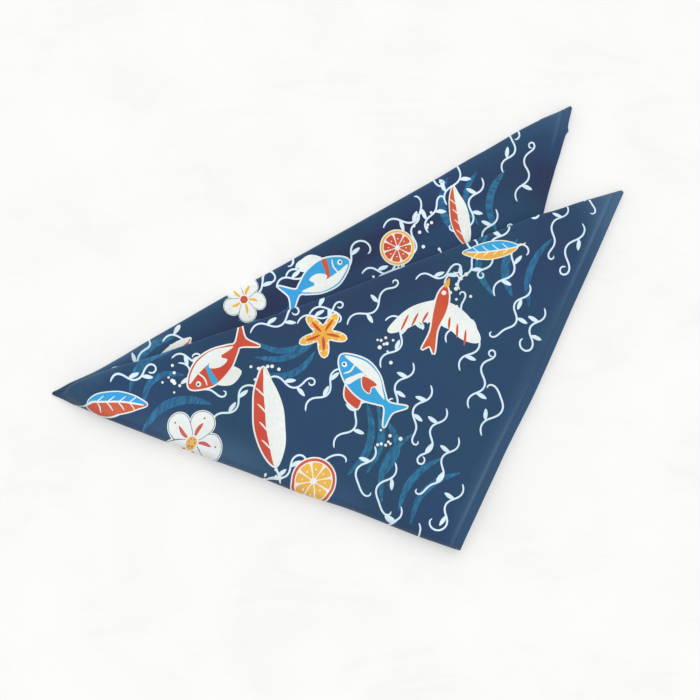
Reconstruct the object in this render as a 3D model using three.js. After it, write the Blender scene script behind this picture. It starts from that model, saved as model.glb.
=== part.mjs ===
// A printed cotton bandana lying folded on a table, seen from straight above.
//
// The square is folded on one diagonal, then on the other, which makes a triangle of four
// plies with the middle of the square at its right angle. One last fold, from that tip to the
// hem and a little off the middle line, turns the rest under: eight plies, an upper packet and
// a lower one, each with two hemmed corners at its far tip. The upper packet sinks to the
// table where it reaches past the lower one's hem.
//
// Millimetres, +Z up. The origin is the middle of the part's box, at table height. +X points
// to the viewer's right and +Y away from the viewer.

import * as THREE from 'three';

// The cloth

const SIDE = 550;                      // the square, from hem to hem
const CLOTH = 1.0;                     // thickness of one ply
const GAP = 0.3;                       // air between one ply and the next
const LAST_GAP = 0.8;                  // air between the two packets
const BLUNT = 3;                       // what the hemmed corners lose of their points

// The folded shape, as lengths and angles from the tip where the folded edges meet

const LAST_FOLD = { length: 275.2, angle: -20.85 };    // from the tip to the hem
const UPPER_EDGE = { length: 389.6, angle: 20.57 };    // the upper packet's folded edge
const LOWER_EDGE = { length: 379.0, angle: 29.51 };    // the lower packet's folded edge
const SPLIT = 40.8;                    // share of the right angle that stays in the upper packet

// How far each packet's far tip is drawn back along its hem, and from which part of its edge

const UPPER_TUCK = { from: 0.84, by: 9.6 };
const LOWER_TUCK = { from: 0.9, by: 4.8 };

// The sides wander: how far out of their straight line they lie, part of the way along. Folds
// are read from the near tip to the hem, hems from the last fold to the packet's far tip.

const FOLD_WANDER = [
  { at: 0.00, out: 0.0 },
  { at: 0.22, out: 2.4 },
  { at: 0.36, out: 2.8 },
  { at: 0.48, out: 2.3 },
  { at: 0.60, out: 2.7 },
  { at: 0.74, out: 0.9 },
  { at: 0.90, out: 1.6 },
  { at: 1.00, out: 0.0 },
];
const UPPER_WANDER = [
  { at: 0.00, out: 0.0 },
  { at: 0.11, out: 2.2 },
  { at: 0.21, out: 1.4 },
  { at: 0.32, out: -0.3 },
  { at: 0.48, out: -2.6 },
  { at: 0.62, out: -1.9 },
  { at: 0.75, out: -1.1 },
  { at: 0.86, out: 0.0 },
  { at: 1.00, out: 0.0 },
];
const LOWER_WANDER = [
  { at: 0.00, out: 0.0 },
  { at: 0.16, out: 0.5 },
  { at: 0.32, out: 0.9 },
  { at: 0.55, out: -0.3 },
  { at: 0.80, out: 0.4 },
  { at: 1.00, out: 0.0 },
];
const UPPER_HEM_WANDER = [
  { at: 0.00, out: 0.0 },
  { at: 0.20, out: -0.3 },
  { at: 0.44, out: 1.1 },
  { at: 0.70, out: 0.0 },
  { at: 1.00, out: -0.6 },
];
const LOWER_HEM_WANDER = [
  { at: 0.00, out: 0.0 },
  { at: 0.55, out: -0.9 },
  { at: 0.76, out: -1.4 },
  { at: 0.92, out: -0.5 },
  { at: 1.00, out: 0.0 },
];
const FOLD_REACH = 0.45;               // share of the packet's width that a fold's wander takes in
const HEM_REACH = 0.25;                // share of its length that a hem's wander takes in

// Under the upper face the next pair of plies has slipped out of the folded edge by its far tip

const SLIP = { from: 0.8, by: 0.8 };

// Where the upper packet reaches past the lower one's hem it sinks to the table

const SINK_CLEAR = 2.0;                // it stays up for so far past the hem
const SINK_RUN = 24;                   // and is down after so much more

// Soft swellings of the stack, seen from above, from the tip: they lift what lies over them

const SWELLINGS = [
  { x: 95, y: -20, along: 80, across: 45, turn: -18, rise: 0.06 },
  { x: 205, y: 15, along: 75, across: 55, turn: 8, rise: 0.09 },
  { x: 232, y: -66, along: 60, across: 45, turn: -30, rise: 0.05 },
  { x: 258, y: 96, along: 75, across: 45, turn: 22, rise: 0.07 },
];

// Mesh: steps round each fold, columns between folds, and rings from the middle to the hem

const DIAGONAL_STEPS = 4;
const LAST_FOLD_STEPS = 6;
const COLUMNS_BETWEEN = 5;
const CORE_RADIUS = 14;                // inside it the columns close in on the middle
const SPARSE_CORE_RINGS = [0.9, 2.0, 3.4];
const CORE_RINGS = [5.2, 7.5, 10.5];
const INNER_RINGS = [0, 0.06, 0.16, 0.3, 0.46, 0.64, 0.82, 1];
const OUTER_RINGS = [0.1, 0.24, 0.4, 0.62, 1];
const LAST_RINGS_WIDTH = 9;            // the least width that the outer rings take up

// Worked out from the above

const HALF_DIAGONAL = SIDE / Math.SQRT2;
const PACKET_STEP = 4 * CLOTH + 3 * GAP + LAST_GAP;    // from one packet up to the other
const STACK = 2 * PACKET_STEP - LAST_GAP;

const TINY = 1e-6;                     // keeps a share of nothing from being divided by nothing

const radians = THREE.MathUtils.degToRad;
const smooth = THREE.MathUtils.smoothstep;

function direction(degrees, length = 1) {
  return new THREE.Vector2(Math.cos(radians(degrees)), Math.sin(radians(degrees))).multiplyScalar(length);
}

// Folding

function foldSizes(plies) {
  const stack = plies * CLOTH + (plies - 1) * GAP;
  const gap = plies === 4 ? LAST_GAP : GAP;
  const axis = CLOTH - stack - gap / 2;
  const halfBand = Math.PI * (stack + gap) / 4;
  return { axis, halfBand };
}

// One fold of a stack whose upper face is at height CLOTH. What lies at a negative distance
// from the crease turns under, round an axis just below the stack.
function foldUnder(distance, height, plies) {
  const { axis, halfBand } = foldSizes(plies);
  const radius = height - axis;
  if (distance >= halfBand) return { distance, height, turned: 0 };
  if (distance <= -halfBand) return { distance: -distance, height: axis - radius, turned: 1 };
  const turned = (halfBand - distance) / (2 * halfBand);
  const angle = Math.PI * turned;
  return {
    distance: halfBand - radius * Math.sin(angle),
    height: axis + radius * Math.cos(angle),
    turned,
  };
}

// The three folds. u runs along the diagonal that is folded first and v along the other, both
// from the middle of the square; height is 0 on the cloth's back and CLOTH on its face.
function foldAll(u, v, height) {
  const first = foldUnder(v, height, 1);
  const second = foldUnder(u, first.height, 2);
  const split = direction(SPLIT);
  const belowPair = smooth(-second.height, CLOTH + GAP, CLOTH + 2 * GAP);
  const slipped = SLIP.by * belowPair * smooth(second.distance / HALF_DIAGONAL, SLIP.from, 1);
  const across = first.distance - slipped;
  const along = second.distance * split.x + across * split.y;
  const beside = second.distance * split.y - across * split.x;
  const last = foldUnder(beside, second.height, 4);
  return {
    along,
    beside: last.distance,
    height: last.height + STACK - CLOTH,
    turned: last.turned,
  };
}

// Laying out on the table

const FOLD_END = direction(LAST_FOLD.angle, LAST_FOLD.length);
const OUT_OF_FOLD = direction(LAST_FOLD.angle - 90);

// The last fold's length in a square that is folded without stretching
const TRUE_FOLD_LENGTH = HALF_DIAGONAL / (Math.cos(radians(SPLIT)) + Math.sin(radians(SPLIT)));

function packet(edge, corner, tuck, edgeWander, hemWander) {
  const tip = direction(edge.angle, edge.length);
  const alongHem = FOLD_END.clone().sub(tip).normalize();
  return {
    tip,
    corner,
    tuck,
    edgeWander,
    hemWander,
    alongHem,
    outOfEdge: direction(edge.angle + 90),
    outOfHem: new THREE.Vector2(-alongHem.y, alongHem.x),
  };
}

const UPPER = packet(UPPER_EDGE, SPLIT, UPPER_TUCK, UPPER_WANDER, UPPER_HEM_WANDER);
const LOWER = packet(LOWER_EDGE, 90 - SPLIT, LOWER_TUCK, LOWER_WANDER, LOWER_HEM_WANDER);

function readTable(rows, at) {
  const next = rows.findIndex((row) => row.at >= at);
  if (next <= 0) return rows[next === 0 ? 0 : rows.length - 1].out;
  const before = rows[next - 1];
  const after = rows[next];
  return THREE.MathUtils.lerp(before.out, after.out, smooth(at, before.at, after.at));
}

// What shares of the ways to the last fold's end and to the packet's far tip add up to a point
function sharesOf(one, along, beside) {
  const toTip = beside / (HALF_DIAGONAL * Math.sin(radians(one.corner)));
  const toFoldEnd = (along - toTip * HALF_DIAGONAL * Math.cos(radians(one.corner))) / TRUE_FOLD_LENGTH;
  return { toTip, toFoldEnd };
}

function plainPlace(one, along, beside) {
  const { toTip, toFoldEnd } = sharesOf(one, along, beside);
  return FOLD_END.clone().multiplyScalar(toFoldEnd).addScaledVector(one.tip, toTip);
}

function placeInPacket(one, along, beside) {
  const { toTip, toFoldEnd } = sharesOf(one, along, beside);
  const place = plainPlace(one, along, beside);
  const drawn = Math.max(0, (toTip - one.tuck.from) / (1 - one.tuck.from));
  place.addScaledVector(one.alongHem, one.tuck.by * drawn);
  const outward = Math.max(TINY, toTip + toFoldEnd);
  const towardTip = THREE.MathUtils.clamp(toTip / outward, 0, 1);
  const nearEdge = 1 - smooth(1 - towardTip, 0, FOLD_REACH);
  const nearFold = 1 - smooth(towardTip, 0, FOLD_REACH);
  const nearHem = smooth(outward, 1 - HEM_REACH, 1);
  place.addScaledVector(one.outOfEdge, nearEdge * readTable(one.edgeWander, outward));
  place.addScaledVector(OUT_OF_FOLD, nearFold * readTable(FOLD_WANDER, outward));
  return place.addScaledVector(one.outOfHem, nearHem * readTable(one.hemWander, towardTip));
}

const LOWER_HEM = LOWER.alongHem.clone().negate();

// How far a place on the table lies past the lower packet's hem
function pastLowerHem(place) {
  return LOWER_HEM.y * (place.x - FOLD_END.x) - LOWER_HEM.x * (place.y - FOLD_END.y);
}

function swellingAt(place) {
  let rise = 0;
  for (const one of SWELLINGS) {
    const fromMiddle = new THREE.Vector2(place.x - one.x, place.y - one.y);
    fromMiddle.rotateAround(new THREE.Vector2(), radians(-one.turn));
    const away = (fromMiddle.x / one.along) ** 2 + (fromMiddle.y / one.across) ** 2;
    rise += one.rise * Math.exp(-away);
  }
  return rise;
}

function layDown(u, v, height) {
  const folded = foldAll(u, v, height);
  const upper = placeInPacket(UPPER, folded.along, folded.beside);
  const lower = placeInPacket(LOWER, folded.along, folded.beside);
  const place = upper.lerp(lower, folded.turned);
  const sunk = smooth(pastLowerHem(place), SINK_CLEAR, SINK_CLEAR + SINK_RUN) * (1 - folded.turned);
  const level = folded.height - PACKET_STEP * sunk;
  return new THREE.Vector3(place.x, place.y, level * (1 + swellingAt(place)));
}

// Columns of the mesh in the flat square. They run out from the middle to the hem, side by
// side along each crease and evenly spread between creases.

const CREASES = [
  { angle: 0, plies: 1 },
  { angle: SPLIT, plies: 4 },
  { angle: 90, plies: 2 },
  { angle: 180 - SPLIT, plies: 4 },
  { angle: 180, plies: 1 },
  { angle: 180 + SPLIT, plies: 4 },
  { angle: 270, plies: 2 },
  { angle: 360 - SPLIT, plies: 4 },
];

// How far a line runs in the flat square before it meets the hem or a blunt corner
function runToHem(start, heading) {
  const limits = [
    [Math.SQRT1_2, Math.SQRT1_2, SIDE / 2],
    [-Math.SQRT1_2, Math.SQRT1_2, SIDE / 2],
    [-Math.SQRT1_2, -Math.SQRT1_2, SIDE / 2],
    [Math.SQRT1_2, -Math.SQRT1_2, SIDE / 2],
    [1, 0, HALF_DIAGONAL - BLUNT],
    [0, 1, HALF_DIAGONAL - BLUNT],
    [-1, 0, HALF_DIAGONAL - BLUNT],
    [0, -1, HALF_DIAGONAL - BLUNT],
  ];
  const runs = limits
    .map(([nu, nv, limit]) => [nu * heading.x + nv * heading.y, limit - nu * start.x - nv * start.y])
    .filter(([rate]) => rate > TINY)
    .map(([rate, room]) => room / rate);
  return Math.min(...runs);
}

function creaseOffsets(crease) {
  const { halfBand } = foldSizes(crease.plies);
  const steps = crease.plies === 4 ? LAST_FOLD_STEPS : DIAGONAL_STEPS;
  const offsets = [];
  for (let step = 0; step <= steps; step += 1) offsets.push(halfBand * (2 * step / steps - 1));
  return crease.plies === 4 ? offsets : [-BLUNT, ...offsets, BLUNT];
}

function creaseColumns(crease) {
  const heading = direction(crease.angle);
  const sideways = direction(crease.angle + 90);
  return creaseOffsets(crease).map((offset) => {
    const inner = sideways.clone().multiplyScalar(offset);
    inner.addScaledVector(heading, Math.sqrt(CORE_RADIUS ** 2 - offset ** 2));
    const outer = inner.clone().addScaledVector(heading, runToHem(inner, heading));
    return { inner, outer };
  });
}

function columnsBetween(before, after) {
  const columns = [];
  const fromAngle = before.inner.angle();
  const spread = (after.inner.angle() - fromAngle + 2 * Math.PI) % (2 * Math.PI);
  for (let step = 1; step <= COLUMNS_BETWEEN; step += 1) {
    const share = step / (COLUMNS_BETWEEN + 1);
    const angle = fromAngle + spread * share;
    const inner = new THREE.Vector2(Math.cos(angle), Math.sin(angle)).multiplyScalar(CORE_RADIUS);
    columns.push({ inner, outer: before.outer.clone().lerp(after.outer, share) });
  }
  return columns;
}

// Plies that lie on one another are mirror images, so from crease to crease the diagonals of
// the mesh change sides: a column that leans has its diagonal to the hem's side.
function allColumns() {
  const atCreases = CREASES.map(creaseColumns);
  return atCreases.flatMap((columns, crease) => {
    const following = atCreases[(crease + 1) % atCreases.length];
    const middle = (columns.length - 1) / 2;
    return [...columns, ...columnsBetween(columns.at(-1), following[0])].map((column, index) => ({
      ...column,
      leans: (crease + (index < middle ? 1 : 0)) % 2 === 0,
    }));
  });
}

// The share of a column at which its outer rings start. In the upper packet that is where it
// has just passed the lower packet's hem.
function outerStart(column) {
  const length = column.inner.distanceTo(column.outer);
  const latest = 1 - LAST_RINGS_WIDTH / length;
  const split = direction(SPLIT);
  const past = [column.inner, column.outer].map((point) => {
    const u = Math.abs(point.x);
    const v = Math.abs(point.y);
    const beside = u * split.y - v * split.x;
    if (beside < 0) return -1;
    return pastLowerHem(plainPlace(UPPER, u * split.x + v * split.y, beside));
  });
  if (past[1] <= SINK_CLEAR) return latest;
  return Math.min(latest, (SINK_CLEAR - past[0]) / (past[1] - past[0]));
}

// The closed mesh

function buildCloth() {
  const columns = allColumns();
  const positions = [];
  const triangles = [];

  function addVertexPair(flat) {
    const face = layDown(flat.x, flat.y, CLOTH);
    const back = layDown(flat.x, flat.y, 0);
    positions.push(face.x, face.y, face.z, back.x, back.y, back.z);
    return positions.length / 3 - 2;
  }

  function addTriangle(a, b, c) {
    triangles.push(a, b, c, a + 1, c + 1, b + 1);
  }

  // A ring is a list of vertex pairs, one for each column it has
  function addRing(everyColumn, placeOn) {
    const ring = [];
    columns.forEach((column, index) => {
      if (everyColumn || index % 2 === 1) ring.push({ index, vertex: addVertexPair(placeOn(column)) });
    });
    return ring;
  }

  // Joins two rings, of which the inner one may have fewer columns
  function joinRings(inner, outer) {
    let i = 0;
    let o = 0;
    const columnAt = (ring, step) => {
      const rounds = Math.floor(step / ring.length);
      return ring[step % ring.length].index + columns.length * rounds;
    };
    while (i < inner.length || o < outer.length) {
      const here = inner[i % inner.length];
      const there = outer[o % outer.length];
      const lead = columnAt(inner, i + 1) - columnAt(outer, o + 1);
      if (lead > 0 || (lead === 0 && columns[here.index].leans)) {
        o += 1;
        addTriangle(here.vertex, outer[o % outer.length].vertex, there.vertex);
      } else {
        i += 1;
        addTriangle(here.vertex, inner[i % inner.length].vertex, there.vertex);
      }
    }
  }

  const inCore = (column, radius) => column.inner.clone().multiplyScalar(radius / CORE_RADIUS);
  const onColumn = (column, share) => column.inner.clone().lerp(column.outer, share);
  const rings = [];
  for (const radius of SPARSE_CORE_RINGS) {
    rings.push(addRing(false, (column) => inCore(column, radius)));
  }
  for (const radius of CORE_RINGS) {
    rings.push(addRing(true, (column) => inCore(column, radius)));
  }
  for (const share of INNER_RINGS) {
    rings.push(addRing(true, (column) => onColumn(column, share * outerStart(column))));
  }
  for (const share of OUTER_RINGS) {
    rings.push(addRing(true, (column) => {
      const start = outerStart(column);
      return onColumn(column, start + (1 - start) * share);
    }));
  }

  const middle = addVertexPair(new THREE.Vector2(0, 0));
  const smallest = rings[0];
  smallest.forEach((entry, step) => {
    addTriangle(middle, smallest[(step + 1) % smallest.length].vertex, entry.vertex);
  });
  for (let ring = 1; ring < rings.length; ring += 1) joinRings(rings[ring - 1], rings[ring]);

  // The cut edge of the hem closes the mesh
  const rim = rings.at(-1);
  rim.forEach((entry, step) => {
    const next = rim[(step + 1) % rim.length].vertex;
    triangles.push(entry.vertex, next, next + 1);
    triangles.push(entry.vertex, next + 1, entry.vertex + 1);
  });

  const geometry = new THREE.BufferGeometry();
  geometry.setAttribute('position', new THREE.Float32BufferAttribute(positions, 3));
  geometry.setIndex(triangles);
  geometry.computeVertexNormals();
  return geometry;
}

const geometry = buildCloth();
geometry.computeBoundingBox();
const middleOfBox = geometry.boundingBox.getCenter(new THREE.Vector3());
geometry.translate(-middleOfBox.x, -middleOfBox.y, 0);

const material = new THREE.MeshStandardMaterial({ color: 0x33486a, roughness: 0.85, metalness: 0 });
const bandana = new THREE.Mesh(geometry, material);
bandana.name = 'bandana';

const part = new THREE.Group();
part.add(bandana);

export default part;
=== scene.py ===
import math

import bpy
import numpy as np
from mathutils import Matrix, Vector
from mathutils.geometry import delaunay_2d_cdt


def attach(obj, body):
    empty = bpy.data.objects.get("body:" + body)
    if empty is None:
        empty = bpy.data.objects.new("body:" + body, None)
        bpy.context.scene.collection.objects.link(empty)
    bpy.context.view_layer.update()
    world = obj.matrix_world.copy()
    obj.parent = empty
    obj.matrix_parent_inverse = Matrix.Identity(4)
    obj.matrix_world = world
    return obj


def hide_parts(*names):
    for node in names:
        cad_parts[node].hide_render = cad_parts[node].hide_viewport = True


# A printed cotton bandana, folded to a triangle of eight plies and lying on a pale table.
# The cloth is drawn flat, print and all, and every point of it goes through the same three
# folds as the CAD solid. Lengths are millimetres until a mesh is made, which is in metres.

bl_info = {
    "name": "Folded Bandana",
    "version": (1, 0, 0),
    "blender": (4, 5, 0),
    "location": "View3D > Sidebar > Bandana",
    "description": "Makes a folded cotton bandana with a sea and garden print, and its stage",
    "category": "Add Mesh",
}

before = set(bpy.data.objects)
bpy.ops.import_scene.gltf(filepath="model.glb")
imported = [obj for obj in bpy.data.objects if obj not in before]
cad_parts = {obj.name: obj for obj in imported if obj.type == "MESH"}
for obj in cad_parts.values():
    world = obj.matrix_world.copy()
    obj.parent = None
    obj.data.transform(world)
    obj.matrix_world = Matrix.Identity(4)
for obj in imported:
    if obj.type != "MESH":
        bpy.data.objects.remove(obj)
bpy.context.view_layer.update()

METRES = 0.001


def smooth(value, low, high):
    share = np.clip((value - low) / (high - low), 0, 1)
    return share * share * (3 - 2 * share)


def direction(degrees, length=1.0):
    angle = math.radians(degrees)
    return np.array([length * math.cos(angle), length * math.sin(angle)])


def unit(ways):
    """The same ways, each with a length of 1."""
    return ways / np.maximum(1e-12, np.linalg.norm(ways, axis=1))[:, None]


# The cloth, as in the CAD solid

SIDE = 550.0
PLY = 1.0                       # room that one ply has in the stack
GAP = 0.3                       # between one ply's room and the next
LAST_GAP = 0.8                  # between the two packets
LAST_FOLD_LENGTH = 275.2
LAST_FOLD_ANGLE = -20.85
UPPER_EDGE_LENGTH = 389.6
UPPER_EDGE_ANGLE = 20.57
LOWER_EDGE_LENGTH = 379.0
LOWER_EDGE_ANGLE = 29.51
SPLIT = 40.8                    # degrees of the right angle that stay in the upper packet

# The far tips are drawn in along the hem: from which share of the way, and by how much

UPPER_TUCK = (0.84, 9.6)
LOWER_TUCK = (0.9, 4.8)

# How far each side lies out of its straight line, as (share of the way, millimetres out)

FOLD_WANDER = [
    (0, 0), (0.06, 1.0), (0.12, 2.3), (0.22, 2.4), (0.36, 2.8), (0.48, 2.3), (0.6, 2.7), (0.74, 1.1),
    (0.9, 1.7), (0.97, 1.1), (1, 0.3),
]
UPPER_WANDER = [
    (0, 0), (0.03, 2.6), (0.065, 2.4), (0.11, 2.0), (0.15, 0.4), (0.2, -0.3), (0.26, -0.8),
    (0.34, -2.0), (0.48, -3.3), (0.62, -2.7), (0.75, -2.3), (0.86, -2.0), (0.93, -0.5), (1, 0),
]
LOWER_WANDER = [
    (0, 0), (0.085, -0.8), (0.12, -0.8), (0.18, -0.2), (0.32, 0.2), (0.46, -0.5), (0.6, -0.75),
    (0.735, -0.9), (0.79, -0.4), (0.84, -0.75), (0.905, -0.65), (0.94, 0), (0.976, -0.35), (1, -0.1),
]
UPPER_HEM_WANDER = [(0, -1), (0.12, -0.9), (0.24, -0.7), (0.44, 1), (0.7, 0), (1, -0.6)]
LOWER_HEM_WANDER = [
    (0, 0), (0.55, -0.9), (0.785, -2.4), (0.835, -2.05), (0.88, -1.4), (0.93, -1.0), (1, -1.25),
]
FOLD_REACH = 0.45               # how far in from a side its wander is felt
HEM_REACH = 0.25
SLIP_FROM, SLIP_BY = 0.8, 0.8   # the lower pair of plies falls a little short at the far tip

# The near tip: its upper plies are drawn back, its lower ones come to a point, all pressed flat

TIP_WAY = direction(2)
TIP_DRAWN, TIP_AHEAD, TIP_DRAWN_REACH = 8.2, 4.4, (2, 34)
TIP_HIGH = (0.2, 0.75)          # shares of the stack's height, from a low ply to a high one
TIP_NARROWED, TIP_NARROWED_REACH = 0.4, (0, 16)
TIP_PRESSED, TIP_REACH = 0.62, (-2, 16)
SINK_CLEAR, SINK_RUN = 2.0, 24.0

# Soft swellings of the whole stack, from the near tip: x, y, half length, half width, turn, rise

SWELLINGS = [
    (95, -20, 80, 45, -18, 0.06),
    (205, 15, 75, 55, 8, 0.09),
    (232, -66, 60, 45, -30, 0.05),
    (258, 96, 75, 45, 22, 0.07),
]

HALF_DIAGONAL = SIDE / math.sqrt(2)
PACKET_STEP = 4 * PLY + 3 * GAP + LAST_GAP
STACK = 2 * PACKET_STEP - LAST_GAP


def read_wander(rows, at):
    """Reads a table of (share, out) rows, with a soft step from each row to the next."""
    shares, outs = np.array(rows, float).T
    at = np.clip(at, 0, 1)
    after = np.clip(np.searchsorted(shares, at), 1, len(rows) - 1)
    step = smooth(at, shares[after - 1], shares[after])
    return outs[after - 1] + (outs[after] - outs[after - 1]) * step


def fold_under(distance, height, plies):
    """Folds a stack: what lies at a negative distance turns under, round an axis below it."""
    stack = plies * PLY + (plies - 1) * GAP
    gap = LAST_GAP if plies == 4 else GAP
    axis = PLY - stack - gap / 2
    half_band = math.pi * (stack + gap) / 4
    turned = np.clip((half_band - distance) / (2 * half_band), 0, 1)
    beyond = np.clip(np.abs(distance) - half_band, 0, None)
    radius = height - axis
    return (
        half_band + beyond - radius * np.sin(math.pi * turned),
        axis + radius * np.cos(math.pi * turned),
        turned,
    )


def lay_down(flat, height):
    """Where points of the flat cloth come to lie on the table, and which lie on top of a packet.
    Flat places are (s, t), along two sides of the square and from its middle."""
    u = (flat[:, 0] + flat[:, 1]) / math.sqrt(2)
    v = (flat[:, 0] - flat[:, 1]) / math.sqrt(2)
    across, level, _ = fold_under(v, height, 1)
    away, level, _ = fold_under(u, level, 2)
    below_pair = smooth(-level, PLY + GAP, PLY + 2 * GAP)
    across = across - SLIP_BY * below_pair * smooth(away / HALF_DIAGONAL, SLIP_FROM, 1)
    first_ply = smooth(level, -GAP, 0)
    last_ply = smooth(-level, 2 * PLY + 2 * GAP, 2 * PLY + 3 * GAP)
    split = direction(SPLIT)
    along = away * split[0] + across * split[1]
    beside, level, turned = fold_under(away * split[1] - across * split[0], level, 4)
    level = level + STACK - PLY
    on_top = first_ply * (1 - turned) + last_ply * turned

    upper = place_in_packet(UPPER, along, beside)
    lower = place_in_packet(LOWER, along, beside)
    place = upper + (lower - upper) * turned[:, None]
    sunk = smooth(past_lower_hem(place), SINK_CLEAR, SINK_CLEAR + SINK_RUN) * (1 - turned)
    level = level - PACKET_STEP * sunk
    from_tip = np.hypot(place[:, 0], place[:, 1])
    at_tip = 1 - smooth(from_tip, *TIP_DRAWN_REACH)
    high = smooth(level / STACK, *TIP_HIGH)
    place = place + np.outer(at_tip * (TIP_DRAWN * high - TIP_AHEAD), TIP_WAY)
    aside = np.array([-TIP_WAY[1], TIP_WAY[0]])
    narrowed = TIP_NARROWED * (1 - high) * (1 - smooth(from_tip, *TIP_NARROWED_REACH))
    place = place - np.outer(narrowed * (place @ aside), aside)
    level = level * (1 - TIP_PRESSED * (1 - smooth(place @ TIP_WAY, *TIP_REACH)))
    rise = level * swelling_at(place)
    return np.column_stack([place + LAID_AT, level + rise]), on_top


def packet(edge_angle, edge_length, corner, tuck, edge_wander, hem_wander):
    tip = direction(edge_angle, edge_length)
    along_hem = FOLD_END - tip
    along_hem /= np.linalg.norm(along_hem)
    return {
        "tip": tip,
        "corner": math.radians(corner),
        "tuck": tuck,
        "edge_wander": edge_wander,
        "hem_wander": hem_wander,
        "along_hem": along_hem,
        "out_of_edge": direction(edge_angle + 90),
        "out_of_hem": np.array([-along_hem[1], along_hem[0]]),
    }


def place_in_packet(one, along, beside):
    to_tip = beside / (HALF_DIAGONAL * math.sin(one["corner"]))
    to_end = (along - to_tip * HALF_DIAGONAL * math.cos(one["corner"])) / TRUE_FOLD_LENGTH
    place = np.outer(to_end, FOLD_END) + np.outer(to_tip, one["tip"])
    drawn = np.clip((to_tip - one["tuck"][0]) / (1 - one["tuck"][0]), 0, None)
    place += np.outer(one["tuck"][1] * drawn, one["along_hem"])
    outward = np.maximum(1e-6, to_tip + to_end)
    toward_tip = np.clip(to_tip / outward, 0, 1)
    near_edge = 1 - smooth(1 - toward_tip, 0, FOLD_REACH)
    near_fold = 1 - smooth(toward_tip, 0, FOLD_REACH)
    near_hem = smooth(outward, 1 - HEM_REACH, 1)
    place += np.outer(near_edge * read_wander(one["edge_wander"], outward), one["out_of_edge"])
    place += np.outer(near_fold * read_wander(FOLD_WANDER, outward), OUT_OF_FOLD)
    place += np.outer(near_hem * read_wander(one["hem_wander"], toward_tip), one["out_of_hem"])
    return place


def past_lower_hem(place):
    hem = -LOWER["along_hem"]
    return hem[1] * (place[:, 0] - FOLD_END[0]) - hem[0] * (place[:, 1] - FOLD_END[1])


def swelling_at(place):
    rise = np.zeros(len(place))
    for x, y, half_length, half_width, turn, high in SWELLINGS:
        along = direction(turn)
        away = place - (x, y)
        far = (away @ along / half_length) ** 2
        far += ((away[:, 1] * along[0] - away[:, 0] * along[1]) / half_width) ** 2
        rise += high * np.exp(-far)
    return rise


FOLD_END = direction(LAST_FOLD_ANGLE, LAST_FOLD_LENGTH)
OUT_OF_FOLD = direction(LAST_FOLD_ANGLE - 90)
TRUE_FOLD_LENGTH = HALF_DIAGONAL / sum(direction(SPLIT))
UPPER = packet(
    UPPER_EDGE_ANGLE, UPPER_EDGE_LENGTH, SPLIT, UPPER_TUCK, UPPER_WANDER, UPPER_HEM_WANDER,
)
LOWER = packet(
    LOWER_EDGE_ANGLE, LOWER_EDGE_LENGTH, 90 - SPLIT, LOWER_TUCK, LOWER_WANDER, LOWER_HEM_WANDER,
)
LAID_AT = np.array([-179.651, -41.285])     # the middle of the square, on the table


# The sheet as it is sewn: thin poplin, with a narrow hem turned twice to the back

FACE = 1.0                      # height of the printed face in its ply's room
HEM_LAYERS = 2.45               # thickness of the turned hem, in thicknesses of the cloth
STITCH_INSET = 4.8
CORNER_CUT = 1.1
PLAIN_MARGIN = 7.8              # the print stops so far inside the hem's edge
TAB_AT, TAB_LENGTH, TAB_OUT, TAB_FADE = 255.5, 5.4, 1.2, 6
RIM = [(0.22, 0.15), (0.38, 0.5), (0.22, 0.85)]    # the hem's round edge: out, share down
HEM_RISE, HEM_RISE_ON_TOP = 0.1, 0.42
HEM_SLOPE = np.array([-0.4, 1.4])       # where the raised band ends, past the hem's width
HEM_THINS = np.array([-0.2, 0.7])       # where the hem's layers end, in the same way
STITCH_SUNK, STITCH_GROOVE = 0.2, 0.7
GATHER_RISE, GATHER_RISE_ON_TOP, GATHER_REACH = 0.06, 0.14, 2.6
GATHERS, UNEVEN = (1.9, 1.3, 11.0), (17.0, 2.0, 41.0)    # wave, how uneven it is, slow wave
SLACK_CLEAR = (1, 4)            # heights over the table from which slack has its effect
NORMAL_STEP = 0.15              # how far to each side a slope is read

# Soft ridges and troughs of what is seen from above, pressed in by hand, in the part's own
# millimetres: from x, y to x, y, half width, rise. They fade out towards their ends.

CREASES = [
    (78, -146, 184, 84, 17, 2.2),
    (140, -8, 182, 84, 15, 2.6),
    (60, -110, 150, 80, 13, -0.7),
    (-130, 2, 118, 128, 9, 1.3),
    (-100, -2, 100, 72, 9, -1.4),
    (112, 72, 140, 140, 9, 1.4),
    (-178, -38, -96, -52, 14, 0.9),
    (-60, -72, 56, -112, 13, 0.8),
    (-70, -6, 60, -34, 22, 0.7),
    (-20, 34, 110, 22, 18, -0.6),
    (10, -64, 90, -12, 15, 0.6),
    (60, -40, 120, -10, 12, -0.5),
]

# Painted light and shade on the ground, in the same way: more than 0 is painted light that mixes
# in a pale blue, less than 0 is painted shade that deepens it towards violet, most on the strip
# beside the upper packet's edge

LIGHT_AND_SHADE_BANDS = [
    (-98, -14, 88, 90, 9, -1.25),
    (75, 78, 141, 115, 11, -0.5),
    (134, 108, 126, 76, 11, -0.85),
    (144, 81, 115, 20, 16, -0.35),
    (-60, -14, 90, 48, 15, -0.5),
    (29, -116, 74, -134, 8, -0.2),
    (-127, -57, -37, -91, 10, 0.34),
    (-37, -91, 20, -112, 9, 0.14),
    (-174, -41, -116, -61, 4, 0.16),
    (-170, -38, -100, 1, 4, 0.36),
    (-98, 2, -16, 47, 3, 0.15),
    (66, 92, 140, 135, 3.5, 0.12),
    (-128, -22, -42, 7, 2.4, 0.26),
    (-50, 4.5, 16, 29.5, 2.4, 0.12),
    (8, 26.5, 134, 73.5, 2.2, 0.05),
]

# Slack that is left in the cloth: waves of it, as length along s and t, height, start

SLACK = [
    (47, 71, 0.10, 0.4),
    (-63, 38, 0.09, 2.1),
    (29, -54, 0.06, 4.0),
    (88, -31, 0.08, 1.2),
]

# Inks of the print, and the cloth's paler back

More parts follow.
